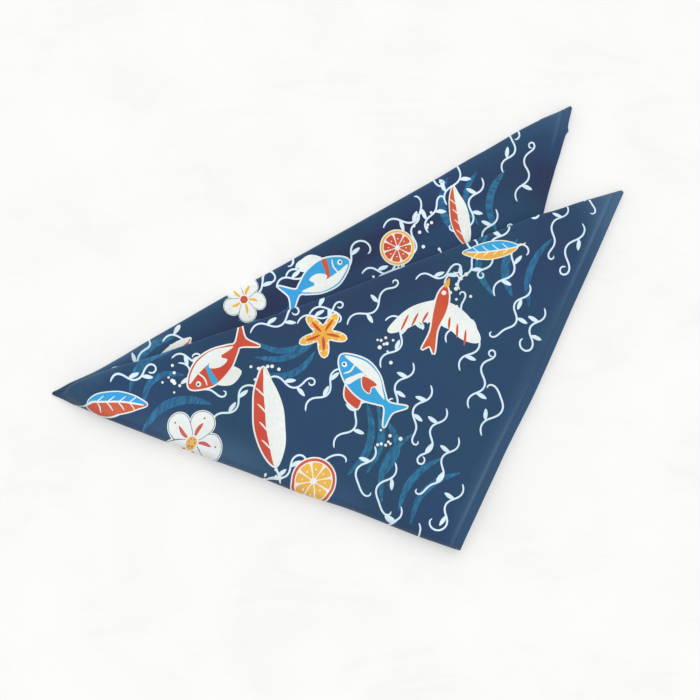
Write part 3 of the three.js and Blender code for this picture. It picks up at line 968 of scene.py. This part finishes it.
def printed_cotton_poplin(cloth):
    """Cotton poplin, plain woven and pigment printed: matt, a little fuzzy at its folds, with
    inks that sit slightly unevenly on the threads and painted light and shade mixed into its
    colour. Real threads are about 0.3 mm apart."""
    material, tree = new_material("printed_cotton_poplin")
    flat_map = add_node(tree, "ShaderNodeUVMap", output="UV", uv_map="flat_cloth")
    in_mm = add_node(tree, "ShaderNodeVectorMath", {0: flat_map, "Scale": SIDE}, operation="SCALE")
    ink = add_node(tree, "ShaderNodeAttribute", output="Color", attribute_name="ink")
    # The second of these attributes holds painted light above 0 and painted shade below 0
    brushed, thin, ground = (
        add_node(tree, "ShaderNodeAttribute", output="Fac", attribute_name=name)
        for name in ("brushed", "painted_light_and_shade", "ground")
    )

    # Broad strokes are laid on with a half-dry brush, so the ground shows through them
    streaks = add_node(tree, "ShaderNodeMapping", {
        "Vector": in_mm, "Scale": (0.5, 0.16, 1), "Rotation": (0, 0, 0.7),
    })
    grain = add_node(tree, "ShaderNodeTexNoise", {
        "Vector": streaks, "Scale": 1.0, "Detail": 3.0, "Roughness": 0.6,
    })
    cover = add_node(tree, "ShaderNodeMapRange", [grain, 0.36, 0.64, 0.8, 0.08])
    through = add_node(tree, "ShaderNodeMath", [cover, brushed], operation="MULTIPLY")
    inked = add_node(tree, "ShaderNodeMix", {
        0: through, 6: ink, 7: (*cloth.navy, 1),
    }, 2, data_type="RGBA")

    # Uneven ink: soft patches over the cloth with a cast of their own, and a finer mottle
    patches, mottle, fuzz = (
        add_node(tree, "ShaderNodeTexNoise", {"Vector": in_mm, "Scale": scale, "Detail": detail})
        for scale, detail in ((0.022, 2.0), (0.45, 4.0), (1.4, 3.0))
    )
    both = add_node(tree, "ShaderNodeMath", [mottle, 0.5, patches], operation="MULTIPLY_ADD")
    tone = add_node(tree, "ShaderNodeMapRange", [both, 0.45, 1.05, 0.88, 1.12])
    cast = add_node(tree, "ShaderNodeMapRange", [patches, 0.36, 0.64, 0.492, 0.508])
    worn = add_node(tree, "ShaderNodeHueSaturation", {"Color": inked, "Value": tone, "Hue": cast})

    # Painted shade deepens the ground towards violet navy, and painted light mixes in a pale blue
    thick = add_node(tree, "ShaderNodeMath", [thin, -1.0], operation="MULTIPLY")
    for share, of_what, hex_colour in ((thick, ground, PAINTED_SHADE_TINT), (thin, PAINTED_LIGHT_SHARE, PAINTED_LIGHT_TINT)):
        shown = add_node(
            tree, "ShaderNodeMath", [share, of_what], operation="MULTIPLY", use_clamp=True,
        )
        worn = add_node(tree, "ShaderNodeMix", {
            0: shown, 6: worn, 7: (*linear(hex_colour), 1),
        }, 2, data_type="RGBA")

    # Plain weave, a little coarser than the real threads so that it shows close by
    waves = []
    for axis, coarser in ((0, 1.0), (1, 1.3)):
        along = add_node(tree, "ShaderNodeSeparateXYZ", [in_mm], axis)
        per_mm = 2 * math.pi / (cloth.weave_pitch / METRES * coarser)
        turned = add_node(tree, "ShaderNodeMath", [along, per_mm], operation="MULTIPLY")
        waves.append(add_node(tree, "ShaderNodeMath", [turned], operation="SINE"))
    weave = add_node(tree, "ShaderNodeMath", waves, operation="MULTIPLY")
    relief = add_node(tree, "ShaderNodeMath", [weave, 0.5, fuzz], operation="MULTIPLY_ADD")
    bump = add_node(tree, "ShaderNodeBump", {"Height": relief, "Strength": 0.35, "Distance": 0.00012})
    shader = add_node(tree, "ShaderNodeBsdfPrincipled", {
        "Base Color": worn, "Normal": bump, "Roughness": cloth.roughness,
        "Sheen Weight": cloth.sheen, "Sheen Roughness": 0.5, "Specular IOR Level": 0.3,
    })
    add_node(tree, "ShaderNodeOutputMaterial", {"Surface": shader})
    return material


def cotton_thread(hem):
    """Spun sewing cotton, dyed navy: matt, with a tight twist, and painted shade in its grooves."""
    material, tree = new_material("cotton_sewing_thread")
    twist = add_node(tree, "ShaderNodeTexWave", {
        "Vector": add_node(tree, "ShaderNodeTexCoord", output="Object"),
        "Scale": 900.0, "Distortion": 2.0, "Detail": 1.0,
    }, "Fac")
    # Painted shade in the grooves of the twist: the thread's colour at 0.6 of its strength
    darker = [0.6 * part for part in hem.thread]
    tone = add_node(tree, "ShaderNodeMix", {
        0: twist, 6: (*hem.thread, 1), 7: (*darker, 1),
    }, 2, data_type="RGBA")
    bump = add_node(tree, "ShaderNodeBump", {"Height": twist, "Strength": 0.4, "Distance": 0.0001})
    shader = add_node(tree, "ShaderNodeBsdfPrincipled", {
        "Base Color": tone, "Normal": bump, "Roughness": 0.7, "Sheen Weight": 0.2,
    })
    add_node(tree, "ShaderNodeOutputMaterial", {"Surface": shader})
    return material


def painted_board(stage):
    """Matt off-white paint on a board, with soft clouds and thin marks of a broad brush. It
    glows a little, as a brightly lit table does, which keeps shadows on it faint."""
    material, tree = new_material("matt_painted_board")
    place = add_node(tree, "ShaderNodeTexCoord", output="Object")
    clouds = add_node(tree, "ShaderNodeTexNoise", {
        "Vector": place, "Scale": 14.0, "Detail": 6.0, "Roughness": 0.62,
    })
    tone = add_node(tree, "ShaderNodeMapRange", [clouds, 0.35, 0.65, 0.975, 1.025])
    depth = add_node(tree, "ShaderNodeMapRange", [clouds, 0.44, 0.56, 0.965, 1.0])
    drawn = add_node(tree, "ShaderNodeMapping", {"Vector": place, "Scale": (6.0, 17.0, 1.0)})
    strokes = add_node(tree, "ShaderNodeTexNoise", {
        "Vector": drawn, "Scale": 1.0, "Detail": 7.0, "Roughness": 0.6, "Distortion": 0.8,
    })
    apart = add_node(tree, "ShaderNodeMath", [strokes, 0.5], operation="SUBTRACT")
    from_mark = add_node(tree, "ShaderNodeMath", [apart], operation="ABSOLUTE")
    marks = add_node(tree, "ShaderNodeMapRange", [from_mark, 0.0, 0.05, depth, 1.0])
    uneven = add_node(tree, "ShaderNodeMath", [tone, marks], operation="MULTIPLY")
    colour = add_node(tree, "ShaderNodeHueSaturation", {
        "Color": (*stage.floor_colour, 1), "Value": uneven,
    })
    roller = add_node(tree, "ShaderNodeTexNoise", {"Vector": place, "Scale": 420.0, "Detail": 2.0})
    bump = add_node(tree, "ShaderNodeBump", {"Height": roller, "Strength": 0.15, "Distance": 0.0002})
    shader = add_node(tree, "ShaderNodeBsdfPrincipled", {
        "Base Color": colour, "Normal": bump, "Roughness": 0.9, "Specular IOR Level": 0.2,
        "Emission Color": DAYLIGHT, "Emission Strength": stage.floor_glow,
    })
    add_node(tree, "ShaderNodeOutputMaterial", {"Surface": shader})
    return material


# Pieces

BACKDROP_LIGHT = 0.93           # the room as the camera sees it, close to the table's brightness
FLOOR_LEVEL = -0.05

# Painted light and shade: painted light by the hem, a painted highlight on the ridge beside it,
# painted light in a corner, and darker at the tip

SIDES_BLEND = 40
HEM_LIGHT_REACH = (7, 15)
RIDGE_AT, RIDGE_WIDTH = 6.4, 1.1
CORNER_REACH = (SIDE - 70, SIDE - 5)
TIP_DARKENING, TIP_DARKENING_REACH = -0.9, (5, 11)

# Rows of points along a stitch: shares of its half length, and of its radius up from the cloth

STITCH_ROWS = ((-1.0, -0.9), (-0.75, 0.2), (-0.3, 0.75), (0.3, 0.75), (0.75, 0.2), (1.0, -0.9))
STITCH_SIDES = 6


def link_mesh(name, points, faces, material):
    mesh = bpy.data.meshes.new(name)
    mesh.from_pydata((points * METRES).tolist(), [], faces.tolist())
    mesh.polygons.foreach_set("use_smooth", np.ones(len(faces), bool))
    mesh.materials.append(material)
    mesh.update()
    piece = bpy.data.objects.new(name, mesh)
    bpy.context.scene.collection.objects.link(piece)
    return piece


def make_cloth(cloth):
    points, normals, flats, triangles, inks = folded_sheet(cloth)
    piece = link_mesh("bandana_cloth", points, triangles, printed_cotton_poplin(cloth))
    mesh = piece.data
    colours = np.array([(*getattr(cloth, name), 1) for name in INK_NAMES])
    corner_colours = mesh.color_attributes.new("ink", "FLOAT_COLOR", "CORNER")
    corner_colours.data.foreach_set("color", np.repeat(colours[inks], 3, axis=0).ravel())
    # Attributes of the print: brushed strokes, painted light and shade, and the navy ground
    for name, domain, values in (
        ("brushed", "FACE", inks == TEAL),
        ("painted_light_and_shade", "POINT", painted_light_and_shade(flats, points[:, :2])),
        ("ground", "FACE", inks == NAVY),
    ):
        mesh.attributes.new(name, "FLOAT", domain).data.foreach_set("value", values.astype(float))
    flat_map = mesh.uv_layers.new(name="flat_cloth")
    flat_map.uv.foreach_set("vector", (flats[triangles.ravel()] / SIDE + 0.5).ravel())

    # Points of the hem's round edge come without a normal, and take the mesh's own
    own = np.zeros(3 * len(points))
    mesh.vertices.foreach_get("normal", own)
    own = own.reshape(-1, 3)
    on_rim = np.linalg.norm(normals, axis=1) < 0.5
    normals[on_rim] = own[on_rim]
    mesh.normals_split_custom_set_from_vertices(normals.tolist())
    return piece


def painted_light_and_shade(flat, place):
    """Painted light and shade, more than 0 for light: painted light by the hems, a painted highlight
    on the ridge beside them and painted light in the corner that faces the light; darker at the near
    tip of the lower packet."""
    s, t = np.abs(flat).T
    inside = hem_distance(flat)
    along = np.minimum(s, t)
    right = np.clip((s - t) / SIDES_BLEND, -1, 1)
    # Painted light along the hems, stronger by the hems at either end of s
    near_hem = (0.06 + 0.08 * right) * (1 - smooth(inside, *HEM_LIGHT_REACH))
    uneven = 0.5 + 0.5 * np.cos((along - 235) / 27.0)
    # A painted highlight on the ridge beside the hem
    ridge = 0.5 * (0.7 + 0.3 * right) * uneven * np.exp(-((inside - RIDGE_AT) / RIDGE_WIDTH) ** 2)
    away = flat.sum(axis=1)
    upper = smooth(away, -SIDES_BLEND, SIDES_BLEND)
    # Painted light in the corner that faces the light, most on the upper packet
    lit_corner = (0.06 + 0.4 * upper) * smooth(s + t, *CORNER_REACH)
    lower = np.abs(flat[:, 0] - flat[:, 1]) > math.tan(math.radians(SPLIT)) * np.abs(away)
    # Darker at the near tip of the lower packet
    at_tip = TIP_DARKENING * lower * (1 - smooth(np.hypot(s, t), *TIP_DARKENING_REACH))
    # The bands add painted light and painted shade by place on the table
    return near_hem + ridge + lit_corner + at_tip + bands(place, LIGHT_AND_SHADE_BANDS)


def stitch_places(hem):
    """Middle of each hem stitch and the way it runs, on the flat cloth."""
    inset = SIDE / 2 - STITCH_INSET
    count = int(2 * inset / (hem.stitch_pitch / METRES))
    across = (np.arange(count) + 0.5) * 2 * inset / count - inset
    middles = []
    ways = []
    for side in range(4):
        middles.append(turned_by(np.column_stack([np.full(count, inset), across]), 90 * side))
        ways.append(np.tile(turned_by([(0, 1)], 90 * side), (count, 1)))
    return np.vstack(middles), np.vstack(ways)


def make_hem_stitches(cloth, hem):
    """Hem stitches: short round lengths of thread that dip into the cloth at both ends."""
    middles, ways = stitch_places(hem)
    half = hem.stitch_length / METRES / 2
    radius = hem.thread_width / METRES / 2
    lines = []
    for share, rise in STITCH_ROWS:
        spot = middles + share * half * ways
        normal = face_normals(spot, FACE, cloth)
        lines.append((cloth_points(spot, FACE, cloth) + radius * rise * normal, normal))
    points = []
    for index, (middle, normal) in enumerate(lines):
        before = lines[max(0, index - 1)][0]
        after = lines[min(len(lines) - 1, index + 1)][0]
        aside = np.cross(unit(after - before), normal)
        for turn in range(STITCH_SIDES):
            angle = 2 * math.pi * turn / STITCH_SIDES
            points.append(middle + radius * (math.cos(angle) * aside + math.sin(angle) * normal))
    points = np.concatenate(points)
    points[:, 2] = np.maximum(points[:, 2], 0)
    count = len(middles)
    ring = STITCH_SIDES * count
    faces = []
    for row in range(len(STITCH_ROWS) - 1):
        for turn in range(STITCH_SIDES):
            here = row * ring + turn * count + np.arange(count)
            beside = row * ring + (turn + 1) % STITCH_SIDES * count + np.arange(count)
            faces.append(np.column_stack([here, beside, beside + ring, here + ring]))
    return link_mesh("hem_stitches", points, np.concatenate(faces), cotton_thread(hem))


def make_stage(stage):
    scene = bpy.context.scene
    scene.view_settings.view_transform = "Standard"
    reach = stage.floor_reach / METRES
    corners = [(x * reach, y * reach, FLOOR_LEVEL) for x, y in ((-1, -1), (1, -1), (1, 1), (-1, 1))]
    floor = link_mesh("floor", np.array(corners), np.array([(0, 1, 2, 3)]), painted_board(stage))
    world = bpy.data.worlds.new("room_light")
    world.use_nodes = True
    tree = world.node_tree
    tree.nodes.clear()
    seen = add_node(tree, "ShaderNodeLightPath", output="Is Camera Ray")
    strength = add_node(
        tree, "ShaderNodeMapRange", [seen, 0.0, 1.0, stage.room_light, BACKDROP_LIGHT],
    )
    room = add_node(tree, "ShaderNodeBackground", {"Color": DAYLIGHT, "Strength": strength})
    add_node(tree, "ShaderNodeOutputWorld", {"Surface": room})
    scene.world = world
    lamp = bpy.data.lights.new("window_light", "SUN")
    lamp.energy = stage.window_light
    lamp.angle = stage.window_spread
    window = bpy.data.objects.new("window_light", lamp)
    azimuth, elevation = stage.window_azimuth, stage.window_elevation
    level = math.cos(elevation)
    toward = Vector((math.cos(azimuth) * level, math.sin(azimuth) * level, math.sin(elevation)))
    window.rotation_euler = toward.to_track_quat("Z", "Y").to_euler()
    scene.collection.objects.link(window)
    camera = bpy.data.cameras.new("camera")
    camera.lens = stage.lens
    distance = stage.view_width * camera.lens / camera.sensor_width
    eye = bpy.data.objects.new("camera", camera)
    eye.location = (*stage.view_middle, distance + stage.view_height)
    scene.collection.objects.link(eye)
    scene.camera = eye
    return floor


# The add-on: settings, one operator for each piece, and a panel in the sidebar

def number_setting(name, description, default, low, high, **more):
    return bpy.props.FloatProperty(
        name=name, description=description, default=default, min=low, max=high, **more,
    )


def length_setting(name, description, default, low, high):
    return number_setting(name, description, default, low, high, unit="LENGTH", precision=5)


def factor_setting(name, description, default, high=1):
    return number_setting(name, description, default, 0, high, subtype="FACTOR")


def angle_setting(name, description, *degrees):
    return number_setting(name, description, *map(math.radians, degrees), subtype="ANGLE")


def colour_setting(name, description, hex_colour):
    return bpy.props.FloatVectorProperty(
        name=name, description=description, default=linear(hex_colour), subtype="COLOR", size=3,
        min=0, max=1,
    )


class BandanaClothSettings(bpy.types.PropertyGroup):
    """Sizes and inks of the cloth."""

    thickness: length_setting("Thickness", "Thickness of the cloth", 0.00038, 0.0001, 0.0004)
    hem_width: length_setting("Hem width", "Width of the turned hem", 0.0056, 0.003, 0.007)
    crease_depth: factor_setting("Crease depth", "How strongly the soft creases show", 1.0, 1.2)
    weave_pitch: length_setting("Weave pitch", "Distance between drawn threads", 0.00045, 0.0002, 0.002)
    roughness: factor_setting("Roughness", "How matt the cloth is", 0.85)
    sheen: factor_setting("Sheen", "Fuzz that lightens the folds", 0.2)
    navy: colour_setting("Ground", "Ink of the ground", INK_HEX[NAVY])
    pale: colour_setting("Fine lines", "Ink of the vines", INK_HEX[PALE])
    white: colour_setting("White", "Ink of the white shapes and edges", INK_HEX[WHITE])
    teal: colour_setting("Brushed leaves", "Ink of the brushed leaves", INK_HEX[TEAL])
    red: colour_setting("Red", "Red-orange ink", INK_HEX[RED])
    mustard: colour_setting("Mustard", "Mustard ink", INK_HEX[MUSTARD])
    sky: colour_setting("Sky blue", "Sky blue ink", INK_HEX[SKY])
    back: colour_setting("Back", "The cloth's unprinted back", INK_HEX[BACK])


class BandanaHemSettings(bpy.types.PropertyGroup):
    """Thread and stitches of the hem."""

    thread_width: length_setting(
        "Thread width", "Thickness of the sewing thread", 0.00032, 0.0001, 0.001,
    )
    stitch_pitch: length_setting("Stitch pitch", "From one stitch to the next", 0.0029, 0.001, 0.006)
    stitch_length: length_setting(
        "Stitch length", "Length of thread that shows in each stitch", 0.0022, 0.0005, 0.006,
    )
    thread: colour_setting("Thread", "Colour of the sewing thread", SEWING_THREAD)


class BandanaStageSettings(bpy.types.PropertyGroup):
    """Table, light and camera."""

    floor_colour: colour_setting("Table", "Paint of the table", TABLE_PAINT)
    floor_glow: factor_setting("Table glow", "Light that the table gives off", 0.41)
    floor_reach: length_setting("Table reach", "From the middle of the table to its edge", 30, 1, 100)
    room_light: number_setting("Room light", "Strength of the light from all round", 0.78, 0, 10)
    window_light: number_setting(
        "Window light", "Strength of the soft light from one side", 1.5, 0, 100,
    )
    window_spread: angle_setting(
        "Window spread", "Angle that the window takes up, seen from the table", 60, 0, 180,
    )
    window_azimuth: angle_setting(
        "Window azimuth", "Way to the window, from the viewer's right and turning left", 72, -180, 180,
    )
    window_elevation: angle_setting(
        "Window elevation", "Height of the window above the table, as an angle", 52, 0, 90,
    )
    lens: number_setting("Lens", "Focal length", 120, 20, 400, unit="CAMERA")
    view_width: length_setting(
        "View width", "Width of the table that the picture shows", 0.4424, 0.1, 2,
    )
    view_height: length_setting(
        "View height", "Height above the table at which the view has its width", 0.006, 0, 0.1,
    )
    view_middle: bpy.props.FloatVectorProperty(
        name="View middle", description="Place on the table that is in the middle of the picture",
        size=2, default=(0.0073, -0.0136), unit="LENGTH", precision=4,
    )


class BANDANA_OT_cloth(bpy.types.Operator):
    """Folds the printed square of cotton and lays it down"""

    bl_idname = "bandana.cloth"
    bl_label = "Cloth"

    def execute(self, context):
        piece = make_cloth(context.scene.bandana_cloth)
        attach(piece, "root")
        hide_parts("bandana")
        return {"FINISHED"}


class BANDANA_OT_hem(bpy.types.Operator):
    """Stitches the hem"""

    bl_idname = "bandana.hem"
    bl_label = "Hem stitches"

    def execute(self, context):
        cloth = bpy.data.objects.get("bandana_cloth")
        if cloth is None:
            raise RuntimeError("Make the cloth before its hem stitches")
        stitches = make_hem_stitches(context.scene.bandana_cloth, context.scene.bandana_hem)
        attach(stitches, "root")
        return {"FINISHED"}


class BANDANA_OT_stage(bpy.types.Operator):
    """Adds the table, the light and the camera"""

    bl_idname = "bandana.stage"
    bl_label = "Stage"

    def execute(self, context):
        make_stage(context.scene.bandana_stage)
        return {"FINISHED"}


class BANDANA_PT_panel(bpy.types.Panel):
    """Settings and operators of the folded bandana"""

    bl_idname = "BANDANA_PT_panel"
    bl_label = "Folded Bandana"
    bl_space_type = "VIEW_3D"
    bl_region_type = "UI"
    bl_category = "Bandana"

    def draw(self, context):
        for settings, (_, operator) in PARTS.items():
            box = self.layout.box()
            group = getattr(context.scene, settings)
            for name in group.__annotations__:
                box.prop(group, name)
            box.operator(operator)


PARTS = {
    "bandana_cloth": (BandanaClothSettings, "bandana.cloth"),
    "bandana_hem": (BandanaHemSettings, "bandana.hem"),
    "bandana_stage": (BandanaStageSettings, "bandana.stage"),
}
CLASSES = (
    BandanaClothSettings, BandanaHemSettings, BandanaStageSettings,
    BANDANA_OT_cloth, BANDANA_OT_hem, BANDANA_OT_stage, BANDANA_PT_panel,
)


def register():
    for one in CLASSES:
        bpy.utils.register_class(one)
    for name, (group, _) in PARTS.items():
        setattr(bpy.types.Scene, name, bpy.props.PointerProperty(type=group))


def unregister():
    for name in PARTS:
        delattr(bpy.types.Scene, name)
    for one in reversed(CLASSES):
        bpy.utils.unregister_class(one)


def main():
    register()
    bpy.ops.bandana.stage()
    bpy.ops.bandana.cloth()
    bpy.ops.bandana.hem()


if __name__ == "__main__":
    main()
